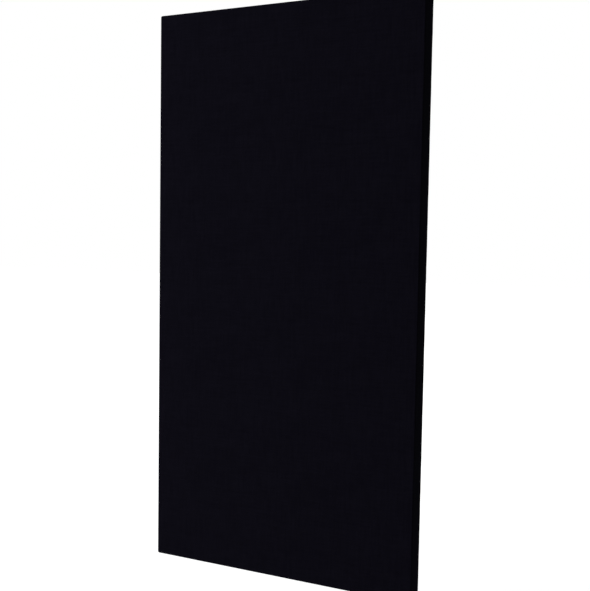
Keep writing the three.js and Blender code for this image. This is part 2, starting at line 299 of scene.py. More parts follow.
# Lines from one end of a straight run to the other, as shares of its half: at the ends and at
# these distances from them, and evenly spaced between
def gridLines(half, nearEnds, step):
    inner = half - nearEnds[-1]
    middle = np.linspace(-inner, inner, max(2, round(2 * inner / step) + 1))
    ends = half - np.array([0, *nearEnds[:-1]])
    return np.concatenate([-ends, middle, ends[::-1]]) / half


# A soft slab's outline, a rounded rectangle, counter-clockwise from its top right corner as seen
# from the front: each point's share of the straight runs and outward direction of its radius
class Rim:
    def __init__(self, high, soft, nearX, nearZ):
        self.high, self.corner, self.leastCorner = high, soft["corner"], soft["leastCorner"]
        self.linesX = gridLines(high.x - self.corner, nearX, soft["gridStep"])
        self.linesZ = gridLines(high.z - self.corner, nearZ, soft["gridStep"])
        countX, countZ = len(self.linesX), len(self.linesZ)
        straights = [
            [(x, 1, 0, 1, index * countZ + countZ - 1) for index, x in enumerate(self.linesX)][::-1],
            [(-1, z, -1, 0, index) for index, z in enumerate(self.linesZ)][::-1],
            [(x, -1, 0, -1, index * countZ) for index, x in enumerate(self.linesX)],
            [(1, z, 1, 0, (countX - 1) * countZ + index) for index, z in enumerate(self.linesZ)],
        ]
        rows = []
        for turn, straight in enumerate(straights):
            rows += straight
            runX, runZ, _, _, inner = straight[-1]
            for step in range(1, soft["cornerSteps"]):
                angle = (turn + 1 + step / soft["cornerSteps"]) * quarterTurn
                rows.append((runX, runZ, math.cos(angle), math.sin(angle), inner))
        table = np.array(rows, float)
        self.runX, self.runZ, self.outX, self.outZ = table[:, :4].T
        self.inner = table[:, 4].astype(int)  # the middle grid's point that each rim point meets
        self.count = len(rows)

    # Half of each straight run and the corner's radius, this far inside the outline
    def runs(self, inset):
        radius = max(self.corner - inset, self.leastCorner)
        return self.high.x - inset - radius, self.high.z - inset - radius, radius

    def at(self, inset):
        halfX, halfZ, radius = self.runs(inset)
        return self.runX * halfX + radius * self.outX, self.runZ * halfZ + radius * self.outZ


# A skin over a flat middle and on through rings, each of (distance inside the outline, y). It
# faces the front, or the back if told to.
def skin(rim, rings, facesBack=False):
    halfX, halfZ, _ = rim.runs(rings[0][0])
    gridX, gridZ = np.meshgrid(rim.linesX * halfX, rim.linesZ * halfZ, indexing="ij")
    blocks = [np.stack([gridX, np.full_like(gridX, rings[0][1]), gridZ], -1).reshape(-1, 3)]
    for inset, y in rings:
        x, z = rim.at(inset)
        blocks.append(np.stack([x, np.full_like(x, y), z], -1))
    rows = len(rim.linesZ)
    faces = [
        (at, at + rows, at + rows + 1, at + 1)
        for column in range(len(rim.linesX) - 1)
        for at in range(column * rows, column * rows + rows - 1)
    ]
    start = gridX.size
    for here in range(rim.count):
        after = (here + 1) % rim.count
        inner, innerAfter = int(rim.inner[here]), int(rim.inner[after])
        ends = [inner, start + here, start + after] + ([innerAfter] if innerAfter != inner else [])
        faces.append(tuple(ends))
        for ring in range(len(rings) - 1):
            near, far = start + ring * rim.count, start + (ring + 1) * rim.count
            faces.append((near + here, far + here, far + after, near + after))
    if facesBack:
        faces = [face[::-1] for face in faces]
    return np.concatenate(blocks), faces


# A cloth's pattern repeats in tiles, so its map runs over many of them
def mapTiles(piece, flatX, flatY, tile):
    tiles = piece.data.uv_layers.new(name="OFBake")
    corners = np.empty(len(piece.data.loops), np.int32)
    piece.data.loops.foreach_get("vertex_index", corners)
    places = np.stack([flatX[corners], flatY[corners]], 1) / tile
    tiles.uv.foreach_set("vector", places.astype(np.float32).ravel())


def arc(middle, radius, start, end, steps):
    angles = [start + (end - start) * step / steps for step in range(steps + 1)]
    return [(middle[0] + radius * math.cos(a), middle[1] + radius * math.sin(a)) for a in angles]


# Faces between sections that follow each other, all of as many points, with a cap at each end
# unless the last section meets the first
def sectionFaces(sections, count, closed=False):
    faces = []
    for index in range(sections if closed else sections - 1):
        near, far = index * count, (index + 1) % sections * count
        for corner in range(count):
            after = (corner + 1) % count
            faces.append((near + corner, near + after, far + after, far + corner))
    if not closed:
        faces.append(tuple(range(count))[::-1])
        faces.append(tuple(range((sections - 1) * count, sections * count)))
    return faces


# A section swept along a line in a plane; gives points as (first, second, across the plane)
def swept(line, section, closed, endShare=1.0):
    line = np.array(line, float)
    before, after = np.roll(line, 1, 0), np.roll(line, -1, 0)
    if not closed:
        before[0], after[-1] = line[0], line[-1]
    along = after - before
    along /= np.linalg.norm(along, axis=1)[:, None]
    aside = np.stack([-along[:, 1], along[:, 0]], 1)
    points = []
    for index, (spot, side) in enumerate(zip(line, aside)):
        scale = endShare if not closed and index in (0, len(line) - 1) else 1.0
        for offset, depth in section:
            points.append((*(spot + side * offset * scale), depth * scale))
    return np.array(points), sectionFaces(len(line), len(section), closed)


# A profile of (radius, y) turned about Y; the first and last points may lie on the axis
def turned(profile, sides, radiusAt=None):
    points, rings, faces = [], [], []
    for radius, y in profile:
        if radius == 0:
            rings.append([len(points)])
            points.append((0, y, 0))
            continue
        rings.append(range(len(points), len(points) + sides))
        for side in range(sides):
            angle = side / sides * fullTurn
            reach = radius if radiusAt is None else radiusAt(radius, y, side / sides)
            points.append((reach * math.sin(angle), y, reach * math.cos(angle)))
    closed = len(rings[0]) > 1 and len(rings[-1]) > 1
    pairs = list(zip(rings, rings[1:])) + ([(rings[-1], rings[0])] if closed else [])
    for lower, upper in pairs:
        for side in range(sides):
            after = (side + 1) % sides
            low = [lower[side % len(lower)], lower[after % len(lower)]]
            high = [upper[after % len(upper)], upper[side % len(upper)]]
            faces.append(tuple(dict.fromkeys(low + high)))
    return np.array(points, float), faces


# Puts a modifier on a piece and keeps only what it makes
def reshape(piece, kind, settings):
    modifier = piece.modifiers.new(kind.lower(), kind)
    for name, value in settings.items():
        setattr(modifier, name, value)
    seen = piece.evaluated_get(bpy.context.evaluated_depsgraph_get())
    shaped = bpy.data.meshes.new_from_object(seen)
    piece.modifiers.clear()
    piece.data = shaped


def cutAway(piece, cutter):
    reshape(piece, "BOOLEAN", {"operation": "DIFFERENCE", "solver": "EXACT", "object": cutter})
    bpy.data.objects.remove(cutter)


def thicken(piece, thickness):
    layer = piece.modifiers.new("thickness", "SOLIDIFY")
    layer.thickness = thickness
    layer.offset = -1


def dress(piece, body, slot, *nodes):
    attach(piece, body)
    if nodes:
        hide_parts(*nodes)


# Cover cloth: a plain weave, stretched over the front and the sides and turned in at the back
cloth = {
    "thickness": 0.8 * mm,
    "frontRadius": 3 * mm,
    "frontSteps": 6,
    "sideSteps": 11,
    "backRadius": 1.3 * mm,
    "backSteps": 4,
    "corner": 4 * mm,
    "cornerSteps": 8,
    "leastCorner": 0.3 * mm,
    "turnIn": 45 * mm,
    "gridStep": 12 * mm,
    "nearX": [at * mm for at in (3, 6, 10, 16, 24, 34, 46, 60)],  # lines beside the corners
    "nearZ": [at * mm for at in (3, 8, 16, 28, 44, 60)],
    "turnedLines": [at * mm for at in (3, 5.5, 8.5, 12, 18, 26, 35)],
    "foldUnder": 0.85 * mm,  # top and bottom: the side's cloth ends under the fold this far in
    "foldOver": 1.15 * mm,
    "foldRise": 0.9 * mm,
    "foldReach": 9 * mm,
    "foldSpread": 0.8,  # it reaches this much further for each length behind the front
    "foldDepth": 22 * mm,  # it has its full rise this far behind the front
    "pullHeight": 0.14 * mm,
    "pullStart": (2 * mm, 40 * mm),
    "pullWaves": ((0.5, 61 * mm), (0.3, 37 * mm), (0.35, 143 * mm)),  # share and pitch of each
    "pullSeed": 11,
    "heldBy": 9 * mm,  # behind, the fold and the pull are pressed flat this far in
    "yarn": 1.25 * mm,
    "tileYarns": 200,  # an even number
    "yarnColour": (0.0071, 0.0065, 0.0114),
    # painted shade: the gaps between the yarns are coloured far darker than the yarns, for the shade that
    # falls into them
    "gapShadeColour": (0.0008, 0.0007, 0.0013),
    "sheenTint": (0.86, 0.9, 1, 1),
    "yarnRelief": 0.25 * mm,
    "stray": 0.16,  # how far a yarn wanders, in yarns
    "strayLength": 18 * mm,
    "slub": (1.3, 36),  # a thick place's width and length, in yarns
    "fuzz": 0.4 * mm,
    "cloud": 60 * mm,
}


def clothFinish():
    weave = newFinish("black woven cloth")
    yarn, tile = cloth["yarn"], cloth["yarn"] * cloth["tileYarns"]
    unfolded = weave.node("ShaderNodeAttribute", {"attribute_name": "unfolded"}, output="Vector")
    across, up, _ = weave.parts(unfolded)

    def noise(wide, high, detail, start=0.0, distortion=0.0):
        return weave.tileNoise(across, up, tile, (wide, high), detail, distortion, start)

    strayLength, cloudLength, fuzzLength = cloth["strayLength"], cloth["cloud"], cloth["fuzz"]
    warpStray, weftStray = (
        (noise(strayLength, strayLength, 3.0, start) - 0.5) * (4 * cloth["stray"]) for start in (5.0, 9.0)
    )
    warpWave = weave.sine((across * (1 / yarn) + warpStray) * math.pi)
    weftWave = weave.sine((up * (1 / yarn) + weftStray) * math.pi)
    over = warpWave * weftWave
    height = weave.larger(weave.positive(warpWave) + over, weave.positive(weftWave) - over) * 0.5
    thick, long = (length * yarn for length in cloth["slub"])
    slub = weave.rise(noise(thick, long, 1.0) + noise(long, thick, 1.0, 3.0), 0.75, 1.25)
    fuzz = noise(fuzzLength, fuzzLength, 3.0, distortion=1.5)
    cloud = weave.rise(noise(cloudLength, cloudLength, 3.0), 0.3, 0.7)
    # Base colour runs from painted shade in the yarns' gaps up to the yarn tops, times the cloth's own tone
    # from slubs, fuzz and cloud
    gapShadeAndTone = weave.rise(height, 0.1, 0.95) * (0.6 + slub * 0.34 + fuzz * 0.3) * (0.94 + cloud * 0.12)
    return weave.surface({
        "Base Color": weave.mix(gapShadeAndTone, cloth["gapShadeColour"], cloth["yarnColour"]),
        "Roughness": 0.8 + fuzz * 0.25,
        "Specular IOR Level": 0.0,
        "Sheen Weight": 0.012,
        "Sheen Roughness": 0.4,
        "Sheen Tint": cloth["sheenTint"],
        "Normal": weave.bump(height * 0.8 + slub * 0.14 + fuzz * 0.22, cloth["yarnRelief"], 0.9),
    })


# For each ring its distance inside the outline, y, run of cloth from the front's edge, and how
# far its outer side faces outward and backward
def clothProfile():
    frontRadius, backRadius = cloth["frontRadius"], cloth["backRadius"]
    sideFront, sideBack = clothLow.y + frontRadius, clothHigh.y - backRadius
    rows = [(frontRadius, clothLow.y, 0, 0, -1)]

    # Round an edge, down from this many quarter turns
    def bend(radius, y, turns, steps):
        run = rows[-1][2]
        for step in range(1, steps + 1):
            angle = (turns - step / steps) * quarterTurn
            outward, backward = -math.cos(angle), math.sin(angle)
            spot = (radius * (1 - outward), y + radius * backward)
            rows.append((*spot, run + radius * step / steps * quarterTurn, outward, backward))

    bend(frontRadius, sideFront, 3, cloth["frontSteps"])
    for step in range(1, cloth["sideSteps"] + 1):
        along = (sideBack - sideFront) * step / cloth["sideSteps"]
        rows.append((0, sideFront + along, frontRadius * quarterTurn + along, 1, 0))
    bend(backRadius, sideBack, 2, cloth["backSteps"])
    run = rows[-1][2] - backRadius
    rows += [(inset, clothHigh.y, run + inset, 0, 1) for inset in (*cloth["turnedLines"], cloth["turnIn"])]
    return rows


# How slack the cloth is between the staples' pulls, at each of the rim's points
def clothPull(rim):
    x, z = rim.at(0)
    steps = np.hypot(np.diff(x, append=x[0]), np.diff(z, append=z[0]))
    around = np.concatenate([[0], np.cumsum(steps)[:-1]])
    dice = random.Random(cloth["pullSeed"])
    return 0.5 + sum(
        share * np.cos(fullTurn * around / pitch + dice.uniform(0, fullTurn))
        for share, pitch in cloth["pullWaves"]
    )


def makeCloth():
    under, over = cloth["foldUnder"], cloth["foldOver"]
    rim = Rim(clothHigh, cloth, (under, over, *cloth["nearX"]), cloth["nearZ"])
    profile = clothProfile()
    points, faces = skin(rim, [row[:2] for row in profile])
    lying = np.stack([points[:, 0], points[:, 2], np.zeros(len(points))], 1)

    # On the top and bottom the last stretch before a corner is the side's cloth, under the fold
    onEnds = np.abs(rim.outZ) == 1
    fromArc = (1 - np.abs(rim.runX)) * rim.runs(0)[0]
    sideCloth = ~onEnds | (fromArc < (under + over) / 2)
    arcShare = np.arctan2(np.abs(rim.outZ), np.abs(rim.outX))
    pull = clothPull(rim)
    edgeX, edgeZ = clothHigh.x - cloth["frontRadius"], clothHigh.z - cloth["frontRadius"]
    thickness = clothHigh.y - clothLow.y
    start = len(points) - rim.count * len(profile)
    for inset, _, run, outward, backward in profile:
        ring = slice(start, start + rim.count)
        start += rim.count
        x, z = points[ring, 0], points[ring, 2]
        _, halfZ, radius = rim.runs(inset)
        alongSide = np.abs(rim.runZ) * halfZ + radius * arcShare + np.where(onEnds, fromArc, 0)
        lying[ring, 0] = np.where(sideCloth, np.sign(x) * (edgeX + run), x)
        lying[ring, 1] = np.sign(z) * np.where(sideCloth, alongSide, edgeZ + run)
        reach = cloth["foldReach"] + cloth["foldSpread"] * min(run, thickness)
        fold = cloth["foldRise"] * softStep(run, 0, cloth["foldDepth"])
        fold = np.where(onEnds & ~sideCloth, fold * (1 - softStep(fromArc - over, 0, reach)), 0)
        slack = cloth["pullHeight"] * pull * softStep(run, *cloth["pullStart"])
        lift = (fold + slack) * (1 - softStep(run, thickness, thickness + cloth["heldBy"]))
        sides = np.stack([rim.outX * outward, np.full(rim.count, backward), rim.outZ * outward], 1)
        points[ring] += sides * lift[:, None]
    piece = meshPiece("wrapped_cover_cloth", points, faces, clothFinish())
    unfolded = piece.data.attributes.new("unfolded", "FLOAT_VECTOR", "POINT")
    unfolded.data.foreach_set("vector", lying.astype(np.float32).ravel())
    mapTiles(piece, lying[:, 0], lying[:, 1], cloth["yarn"] * cloth["tileYarns"])
    thicken(piece, cloth["thickness"])
    dress(piece, "panel", "black_cloth", "cover_cloth")


makeCloth()

# Foam core: a cut slab with softened edges
foam = {
    "corner": 2.5 * mm,  # and the edges' radius
    "cornerSteps": 4,
    "leastCorner": 0.4 * mm,
    "gridStep": 14 * mm,
    "near": [at * mm for at in (6, 16, 30)],
    "sideShares": (0.4, 0.7, 1),  # rings between the front and the middle
    "sink": 0.35 * mm,  # the cut faces waver by this much
    "sinkTurns": (61, 90, 47),
    "sinkStart": 1.3,
    "colour": (0.045, 0.047, 0.052),
    # painted shade: the pores between the struts are coloured darker, for the shade inside them
    "poreShadeColour": (0.008, 0.008, 0.009),
    "cloudColour": (0.02, 0.021, 0.024),
    "cloud": 60 * mm,
    "cell": 1.1 * mm,
    "fineShare": 1 / 2.3,  # the smaller cells' size as a share of that
    "grain": 0.8 * mm,
    "relief": 0.5 * mm,
}


def foamFinish():
    sponge = newFinish("charcoal open-cell foam")
    place = sponge.place()
    grain = sponge.noise(place, foam["grain"])
    wide = 1 - sponge.rise(sponge.cells(place, foam["cell"]), 0.02, 0.2)
    fine = 1 - sponge.rise(sponge.cells(place, foam["cell"] * foam["fineShare"]), 0.02, 0.24)
    strut = sponge.larger(wide, fine * 0.5)
    cloud = sponge.rise(sponge.noise(place, foam["cloud"], 3.0), 0.3, 0.7)
    # The struts take the foam's colour, and the pores between them take painted shade
    colour = sponge.mix(strut * (0.7 + grain * 0.3), foam["poreShadeColour"], foam["colour"])
    return sponge.surface({
        "Base Color": sponge.mix(cloud * 0.15, colour, foam["cloudColour"]),
        "Roughness": 0.85 + grain * 0.15,
        "Specular IOR Level": 0.2,
        "Normal": sponge.bump(strut + grain * 0.3, foam["relief"], 0.7),
    })


def makeFoam():
    low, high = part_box("foam_core")
    edge, middle = foam["corner"], (low.y + high.y) / 2
    rings = arc((edge, low.y + edge), edge, -quarterTurn, -2 * quarterTurn, foam["cornerSteps"])
    rings += [(0, low.y + (middle - low.y) * share) for share in foam["sideShares"]]
    points, faces = skin(Rim(high, foam, foam["near"], foam["near"]), rings)
    other = points * (1, -1, 1) + (0, 2 * middle, 0)
    faces += [tuple(index + len(points) for index in face[::-1]) for face in faces]
    points = np.concatenate([points, other])
    turnX, turnY, turnZ = (points * foam["sinkTurns"]).T
    sink = foam["sink"] * (0.5 + 0.5 * np.sin(turnX + foam["sinkStart"]) * np.sin(turnZ + turnY))
    fromMiddle = points - (0, middle, 0)
    sink[np.abs(fromMiddle[:, 1]) < 0.1 * mm] = 0  # where the two halves join
    outer = np.abs(fromMiddle) > np.array(high - low) / 2 - 2 * edge
    points -= np.sign(fromMiddle) * outer * sink[:, None]
    piece = meshPiece("soft_foam_slab", points, faces, foamFinish())
    reshape(piece, "WELD", {"merge_threshold": 0.01 * mm})
    dress(piece, "panel", "grey_foam", "foam_core")
    print(f"foam slab: {len(piece.data.vertices)} points")


makeFoam()

# Bright metals, which stains darken and dull
metals = {
    "nickel plate": {"colour": (0.56, 0.54, 0.51), "stainColour": (0.36, 0.34, 0.31),
                     "roughness": 0.16, "grain": 0.4 * mm},
    "bright zinc": {"colour": (0.47, 0.49, 0.52), "stainColour": (0.3, 0.31, 0.32),
                    "roughness": 0.26, "grain": 0.5 * mm},
}
metalStain, metalRelief = 5 * mm, 0.02 * mm


def metalFinish(name):
    look, metal = metals[name], newFinish(name)
    place = metal.place()
    stain = metal.rise(metal.noise(place, metalStain, 4.0), 0.35, 0.7)
    rub = metal.noise(place, look["grain"], 3.0)
    return metal.surface({
        "Base Color": metal.mix(stain * 0.5, look["colour"], look["stainColour"]),
        "Metallic": 1.0,
        "Roughness": look["roughness"] + stain * 0.12 + rub * 0.12,
        "Normal": metal.bump(rub, metalRelief, 0.5),
    })


nickel = metalFinish("nickel plate")
zinc = metalFinish("bright zinc")

# Staples through the lining and the turned-in cloth into the timber
staples = {
    "pitch": 58 * mm,
    "fromEdge": 4.2 * mm,  # inside the lining's edge
    "crown": 11 * mm,
    "leg": 8 * mm,
    "bend": 0.8 * mm,
    "bendSteps": 4,
    "point": 0.7 * mm,
    "pointShare": 0.35,  # of the wire's thickness, at its very end
    "wire": (0.6 * mm, 1.1 * mm),  # out of the back, and along it
    "flatShare": 0.7,  # of each side of the wire, between its corners
    "press": 0.2 * mm,
    "pressReach": 6 * mm,
    "wanderAlong": 3.5 * mm,
    "wanderAcross": 0.7 * mm,
    "turn": 7,  # degrees
    "seed": 5,
}


# Side, middle and direction of the crown of each staple
def placeStaples():
    dice = random.Random(staples["seed"])
    reachX, reachZ = liningHigh.x - staples["fromEdge"], liningHigh.z - staples["fromEdge"]
    sides = [("top", (0, reachZ), (1, 0), reachX), ("bottom", (0, -reachZ), (1, 0), reachX),
             ("left", (-reachX, 0), (0, 1), reachZ), ("right", (reachX, 0), (0, 1), reachZ)]
    places = []
    for side, middle, along, half in sides:
        count = round(2 * half / staples["pitch"])
        for index in range(count):
            run = half * ((2 * index + 1) / count - 1) + dice.uniform(-1, 1) * staples["wanderAlong"]
            drift = dice.uniform(-1, 1) * staples["wanderAcross"]
            turn = math.radians(dice.uniform(-1, 1) * staples["turn"])
            x = middle[0] + along[0] * run + along[1] * drift
            z = middle[1] + along[1] * run + along[0] * drift
            places.append((side, x, z, math.atan2(along[1], along[0]) + turn))
    return places


def makeStaples():
    half, leg, bend, steps = staples["crown"] / 2, staples["leg"], staples["bend"], staples["bendSteps"]
    right = arc((half - bend, -bend), bend, quarterTurn, 0, steps)
    right += [(half, -leg / 2), (half, staples["point"] - leg), (half, -leg)]
    line = [(-x, y) for x, y in right[::-1]] + [(0, 0)] + right
    thick, wide = (size / 2 for size in staples["wire"])
    flatThick, flatWide = thick * staples["flatShare"], wide * staples["flatShare"]
    section = [(thick, -flatWide), (thick, flatWide), (flatThick, wide), (-flatThick, wide),
               (-thick, flatWide), (-thick, -flatWide), (-flatThick, -wide), (flatThick, -wide)]
    local, localFaces = swept(line, section, False, staples["pointShare"])
    seat = liningHigh.y - staples["press"] + thick
    for side in ("top", "bottom", "left", "right"):
        points, faces = [], []
        for _, x, z, angle in [place for place in staplePlaces if place[0] == side]:
            cosine, sine = math.cos(angle), math.sin(angle)
            faces += [tuple(index + len(points) for index in face) for face in localFaces]
            points += list(local @ [(cosine, 0, sine), (0, 1, 0), (-sine, 0, cosine)] + (x, seat, z))
        piece = meshPiece(f"{side}_lining_staples", points, faces, zinc, 40)
        dress(piece, "panel", "zinc_screw")
    print(f"staples: {len(staplePlaces)}")


staplePlaces = placeStaples()
makeStaples()

# Back lining: thin bonded fibre cloth with its edge folded under
lining = {
    "sheet": 0.25 * mm,
    "foldRadius": 0.4 * mm,
    "foldSteps": 6,
    "hem": 12 * mm,
    "hemLines": [at * mm for at in (3, 7)],
    "hemRidge": 0.12 * mm,  # a low line over the hem's inner edge
    "hemRidgePlace": (1.5 * mm, 1.6 * mm),  # how far inside that edge, and its reach
    "corner": 6 * mm,
    "cornerSteps": 6,
    "leastCorner": 0.5 * mm,
    "underShare": 0.15,  # of the relief, in the part that is turned under
    "gridStep": 7 * mm,
    "near": [at * mm for at in (2, 4, 6, 8.5, 11, 14, 18, 23, 30, 40)],
    "sag": 2.6 * mm,  # between the timbers, whose edges show as a faint crease
    "sagReach": 75 * mm,
    "sagStart": 50 * mm,  # inside the hem
    "pucker": 0.3 * mm,  # folds that run in from the staples, with hills between
    "puckerStart": (5 * mm, 20 * mm),
    "puckerReach": 24 * mm,
    "puckerWidth": (0.4, 0.2),  # shares of the crown and of the way in from it
    "puckerFloor": 0.4,
    "waverOnTimber": 0.3 * mm,
    "waver": 2.4 * mm,
    "waverBend": 2.2,
    "waverSeed": 8,
    "waverPitches": [at * mm for at in (38, 55, 74, 98, 131)],
    "fittingClear": (24 * mm, 60 * mm),  # flat round the middles of straps and feet
    "colour": (0.0135, 0.0135, 0.0148),
    "bondColour": (0.006, 0.006, 0.0068),
    "cloudColour": (0.019, 0.019, 0.0205),
    "bondPitch": 2.4 * mm,
    "tileBonds": 100,
    "strand": 0.9 * mm,
    "cloud": 14 * mm,
    "relief": 0.15 * mm,
}


def liningFinish():
    fibre = newFinish("black bonded lining")
    across, _, up = fibre.parts(fibre.place())
    pitch, tile = lining["bondPitch"], lining["bondPitch"] * lining["tileBonds"]
    acrossWave, upWave = (fibre.sine(way * (fullTurn / pitch) + quarterTurn) for way in (across, up))
    bond = fibre.rise(acrossWave * upWave, 0.35, 0.62)
    strand, cloudLength = lining["strand"], lining["cloud"]
    strands = fibre.tileNoise(across, up, tile, (strand, strand), 4.0, 2.2)
    cloud = fibre.rise(fibre.tileNoise(across, up, tile, (cloudLength, cloudLength), 3.0), 0.32, 0.68)
    colour = fibre.mix(0.25 + strands * 0.55, lining["bondColour"], lining["colour"])
    colour = fibre.mix(cloud * 0.35, colour, lining["cloudColour"])
    return fibre.surface({
        "Base Color": fibre.mix(bond * 0.7, colour, lining["bondColour"]),
        "Roughness": 0.6 - bond * 0.22 + strands * 0.1,
        "Specular IOR Level": 0.14,
        "Sheen Weight": 0.01,
        "Normal": fibre.bump(strands * 0.6 - bond * 0.5 + cloud * 0.3, lining["relief"], 0.8),
    })


# How deep a point lies in the bays between the timbers, 0 over them and over the turned-in cloth
def bayDepth(x, z):
    side = min(-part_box("left_stile")[1].x, clothHigh.x - cloth["turnIn"])
    end = min(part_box("top_rail")[0].z, clothHigh.z - cloth["turnIn"])
    brace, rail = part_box("lower_brace"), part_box("hanging_rail")
    depth = np.zeros_like(x)
    for low, high in ((-end, brace[0].z), (brace[1].z, rail[0].z), (rail[1].z, end)):
        depth = np.maximum(depth, np.minimum.reduce([side - np.abs(x), z - low, high - z]))
    gussetLow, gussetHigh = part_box("top_right_gusset")
    fromCorner = (gussetHigh.x - np.abs(x)) + (gussetHigh.z - np.abs(z))
    beyondGusset = (fromCorner - (gussetHigh.x - gussetLow.x)) / math.sqrt(2)
    return np.maximum(np.minimum(depth, beyondGusset), 0)


# Gentle bent waves that come and go, from -1 to 1
def waver(x, z):
    dice = random.Random(lining["waverSeed"])
    wave = np.zeros_like(x)
    for pitch in lining["waverPitches"]:
        angle, crossAngle = dice.uniform(0, math.pi), dice.uniform(0, math.pi)
        phase, crossPhase, swellPhase = (dice.uniform(0, fullTurn) for _ in range(3))
        along, cross = (
            (x * math.cos(way) + z * math.sin(way)) * fullTurn / pitch for way in (angle, crossAngle)
        )
        swell = 0.55 + 0.45 * np.sin(cross / 2.3 + along / 5.1 + swellPhase)
        wave += swell * np.sin(along + phase + lining["waverBend"] * np.sin(cross / 3.1 + crossPhase))
    return wave / len(lining["waverPitches"])


# Where the staples press the lining, and the folds that run in from them, each from 0 to 1
def stapleMarks(x, z):
    pressed, folds = np.zeros_like(x), np.zeros_like(x)
    ofCrown, ofWay = lining["puckerWidth"]
    for _, stapleX, stapleZ, angle in staplePlaces:
        offsetX, offsetZ = x - stapleX, z - stapleZ
        along = np.abs(offsetX * math.cos(angle) + offsetZ * math.sin(angle))
        aside = np.abs(offsetX * math.sin(angle) - offsetZ * math.cos(angle))
        distance = np.hypot(np.maximum(along - staples["crown"] / 2, 0), aside)
        pressed = np.maximum(pressed, 1 - softStep(distance, 0, staples["pressReach"]))
        valley = np.exp(-(along / (ofCrown * staples["crown"] + ofWay * aside)) ** 2)
        folds = np.maximum(folds, valley * (aside < staples["pitch"]))
    return pressed, folds


# How far the lining's outer face sinks from its flat plane
def liningRelief(x, z):
    pressed, folds = stapleMarks(x, z)
    edge = np.minimum(liningHigh.x - np.abs(x), liningHigh.z - np.abs(z))
    pastHem = edge - lining["hem"]
    ridgePlace, ridgeReach = lining["hemRidgePlace"]
    ridge = np.exp(-((pastHem - ridgePlace) / ridgeReach) ** 2)
    folds = (folds - lining["puckerFloor"]) * softStep(edge, *lining["puckerStart"])
    folds *= np.exp(-np.maximum(pastHem, 0) / lining["puckerReach"])
    bay = 1 - (1 - np.minimum(bayDepth(x, z) / lining["sagReach"], 1)) ** 2
    onTimber = lining["waverOnTimber"]
    give = lining["sag"] * bay + (onTimber + (lining["waver"] - onTimber) * bay) * waver(x, z)
    free = lining["pucker"] * folds + give * softStep(pastHem, 0, lining["sagStart"])
    for name in frame["nodes"]:
        if name.endswith(("_hanger_strap", "_foot")):
            low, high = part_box(name)
            distance = np.hypot(x - (low.x + high.x) / 2, z - (low.z + high.z) / 2)
            free *= softStep(distance, *lining["fittingClear"])
    return staples["press"] * pressed + lining["hemRidge"] * ridge + free


def makeLining():
    outside, fold = liningHigh.y, lining["foldRadius"]
    rings = arc((fold, outside - fold), fold, quarterTurn, 3 * quarterTurn, lining["foldSteps"])
    rings += [(inset, outside - 2 * fold) for inset in (*lining["hemLines"], lining["hem"])]
    points, faces = skin(Rim(liningHigh, lining, lining["near"], lining["near"]), rings, facesBack=True)
    share = lining["underShare"]
    share += (1 - share) * softStep(points[:, 1], outside - fold, outside)
    points[:, 1] -= liningRelief(points[:, 0], points[:, 2]) * share
    piece = meshPiece("hemmed_back_lining", points, faces, liningFinish())
    mapTiles(piece, points[:, 0], points[:, 2], lining["bondPitch"] * lining["tileBonds"])
    thicken(piece, lining["sheet"])
    dress(piece, "panel", "black_lining", "back_lining")


makeLining()

# Wall hangers: a folded strap with a rolled eye, and a wire D-ring
hanger = {
    "sheet": 1.2 * mm,
    "wire": 3 * mm,
    "wireSides": 24,
    "seam": 0.03 * mm,  # half of the line between the folded layers
    "eyeInside": 1.8 * mm,
    "eyeOutside": 3 * mm,
    "eyeSteps": 30,
    "ringHalf": 11.5 * mm,
    "ringSteps": 48,
    "ringBend": 3 * mm,
    "bendSteps": 10,
    "ringLeg": 5 * mm,
    "screwHole": 2.05 * mm,
    "holeSides": 32,
    "edge": 0.2 * mm,
    "edgeSteps": 3,
    "roundEndSteps": 10,
    "leastHalf": 0.15 * mm,  # of the strap's width, at its very end
    "lengthShares": (0.6, 0.35, 0.2),  # sections along its straight part
}


# The folded strip about the eye's middle: outer and inner points as (y, z)
def stripStations(length, halfWidth):
    outside, inside, seam = hanger["eyeOutside"], hanger["eyeInside"], hanger["seam"]
    lowerIn, upperIn = -inside - seam, -inside + seam
    upperOut = 2 * hanger["sheet"] - outside
    roundEnd = arc((length - halfWidth, 0), halfWidth, 0, quarterTurn, hanger["roundEndSteps"])
    downs = [down for down, _ in roundEnd] + [share * length for share in hanger["lengthShares"]]
    outerEye, innerEye = (
        arc((0, 0), radius, math.pi, -math.acos(end / radius), hanger["eyeSteps"])
        for radius, end in ((outside, upperOut), (inside, upperIn))
    )
    stations = [((-outside, -down), (lowerIn, -down)) for down in downs]
    stations += zip(outerEye, innerEye)
    stations += [((upperOut, -down), (upperIn, -down)) for down in downs[::-1]]
    return stations


# The strap's section at one station: a rectangle with rounded corners
def stripSection(half, outer, inner):
    outer, inner = np.array(outer), np.array(inner)
    thickness = np.linalg.norm(inner - outer)
    inward = (inner - outer) / thickness
    edge, steps = min(hanger["edge"], 0.4 * half), hanger["edgeSteps"]
    deep = thickness - edge
    points = []
    for turn, (side, depth) in enumerate(((-1, edge), (1, edge), (1, deep), (-1, deep))):
        for out, down in arc((0, 0), edge, (turn + 2) * quarterTurn, (turn + 3) * quarterTurn, steps):
            points.append((side * (half - edge) + out, *(outer + inward * (depth + down))))
    return points


